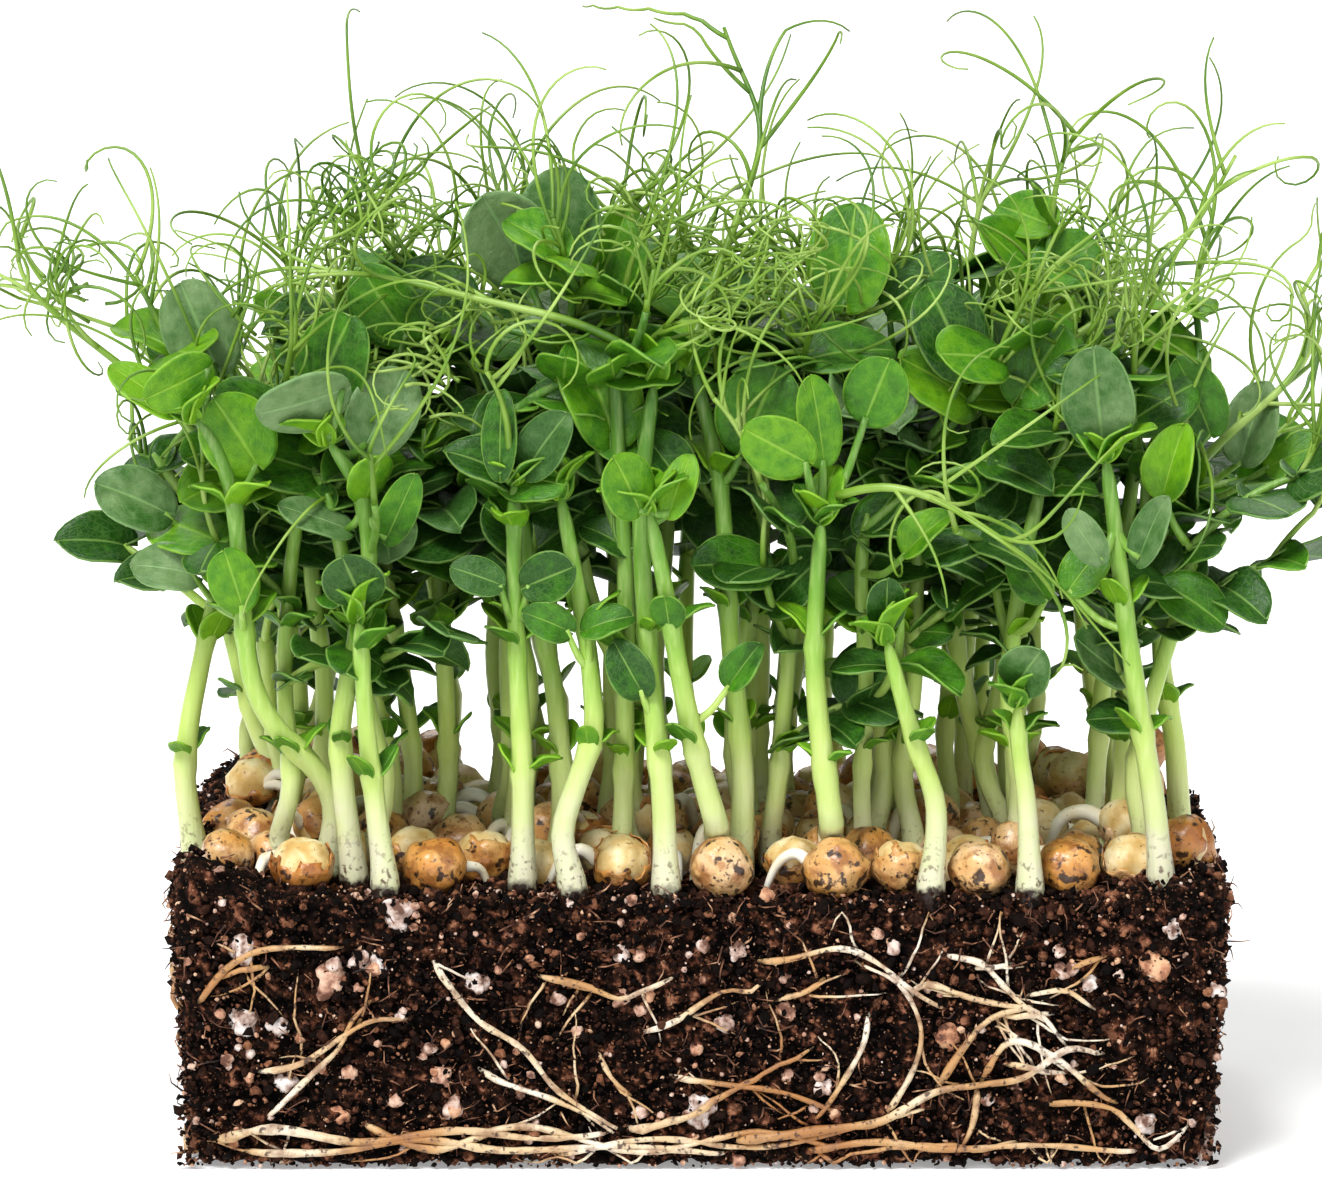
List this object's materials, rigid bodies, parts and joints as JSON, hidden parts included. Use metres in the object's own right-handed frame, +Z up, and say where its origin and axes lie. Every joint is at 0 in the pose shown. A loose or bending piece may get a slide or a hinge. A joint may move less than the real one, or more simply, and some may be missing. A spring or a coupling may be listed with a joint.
{
  "type": "block of pea shoot microgreens",
  "caption": "Slab of growing medium turned out of its tray, with sprouted peas on it, and the pea shoots' rooted stems, leaves, tendrils and trailing roots.",
  "frame": {"origin": "centre of the slab's flat underside", "axes": "+Z up out of the slab, +X to the right along the slab's long side, +Y to the back; -Y is the face with the roots"},
  "size_m": [0.1798, 0.0982, 0.1541],
  "materials": {
    "soil": "moist fibrous growing medium, near black, with white perlite grains and tan fibres",
    "pea": "ochre to cream seed coat, speckled, softly glossy",
    "stem": "white at the foot, then pale yellow-green to green, satin",
    "leaf": "yellow-green to waxy grey-green, with lighter veins",
    "tendril": "bright green, satin",
    "root": "cream to tan, speckled with soil"
  },
  "bodies": {
    "root": {"leaf_01": "leaf", "leaf_02": "leaf", "leaf_03": "leaf", "leaf_04": "leaf", "leaf_05": "leaf", "leaf_06": "leaf", "leaf_07": "leaf", "leaf_08": "leaf", "leaf_09": "leaf", "leaf_10": "leaf", "leaf_11": "leaf", "leaf_12": "leaf", "leaf_13": "leaf", "leaf_14": "leaf", "leaf_15": "leaf", "leaf_16": "leaf", "leaf_17": "leaf", "leaf_18": "leaf", "leaf_19": "leaf", "leaf_20": "leaf", "leaf_21": "leaf", "pea_01": "pea", "pea_02": "pea", "pea_03": "pea", "pea_04": "pea", "pea_05": "pea", "pea_06": "pea", "pea_07": "pea", "pea_08": "pea", "pea_09": "pea", "pea_10": "pea", "pea_11": "pea", "pea_12": "pea", "pea_13": "pea", "root_01": "root", "root_02": "root", "root_03": "root", "root_04": "root", "soil_block": "soil", "stem_01": "stem", "stem_02": "stem", "stem_03": "stem", "stem_04": "stem", "stem_05": "stem", "stem_06": "stem", "stem_07": "stem", "stem_08": "stem", "stem_09": "stem", "stem_10": "stem", "stem_11": "stem", "stem_12": "stem", "stem_13": "stem", "stem_14": "stem", "stem_15": "stem", "tendril_01": "tendril", "tendril_02": "tendril", "tendril_03": "tendril", "tendril_04": "tendril", "tendril_05": "tendril", "tendril_06": "tendril"}
  },
  "joints": []
}
